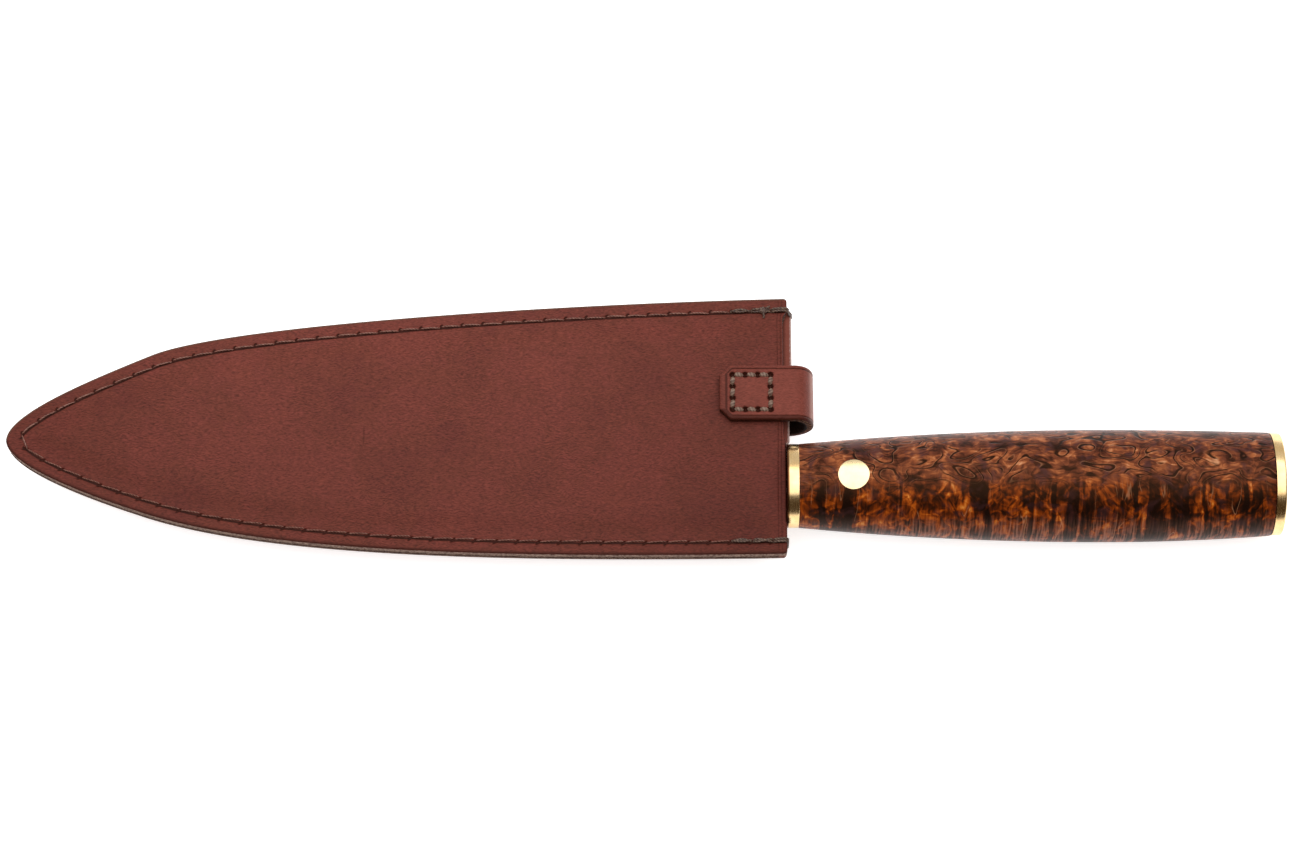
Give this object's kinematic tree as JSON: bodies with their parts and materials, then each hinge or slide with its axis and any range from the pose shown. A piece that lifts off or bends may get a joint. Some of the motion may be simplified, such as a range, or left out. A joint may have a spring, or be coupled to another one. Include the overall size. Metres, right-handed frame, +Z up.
{
  "type": "chef's knife in leather sheath",
  "caption": "Gyuto chef's knife with an oval figured-wood handle and brass fittings, held in a stitched leather sheath with a snap retention strap.",
  "frame": {"origin": "where the handle's axis meets the butt cap's flat end", "axes": "+X out of the butt along the handle's axis, +Y from the blade's spine to its cutting edge, +Z up, out of the sheath's front panel"},
  "size_m": [0.3263, 0.0693, 0.0254],
  "materials": {
    "steel": "satin",
    "brass": "brushed",
    "wood": "stained and oiled, satin",
    "leather": "dyed, fine grain",
    "thread": "waxed",
    "snap_metal": "antique"
  },
  "bodies": {
    "knife": {"blade": "steel", "ferrule": "brass", "handle": "wood", "handle_pin": "brass", "butt_cap": "brass", "cap_pin_upper": "brass", "cap_pin_lower": "brass"},
    "sheath": {"front_panel": "leather", "back_panel": "leather", "welt": "leather", "seam_thread_front": "thread", "seam_thread_back": "thread", "mouth_stitch_edge": "thread", "mouth_stitch_spine": "thread", "strap_anchor": "leather", "strap_thread": "thread", "snap_post": "snap_metal", "snap_stud": "snap_metal"},
    "strap": {"strap_flap": "leather", "snap_socket": "snap_metal", "snap_cap": "snap_metal"}
  },
  "joints": [
    {"name": "sheath_slide", "type": "slide", "parent": "knife", "child": "sheath", "axis": [-1, 0, 0], "range_m": [0, 0.21]},
    {"name": "strap_hinge", "type": "hinge", "parent": "sheath", "child": "strap", "pos_m": [-0.12087, 0.0234, 0.00212], "axis": [0, -1, 0], "range_deg": [0, 165], "deforming": ["strap_flap"]}
  ]
}
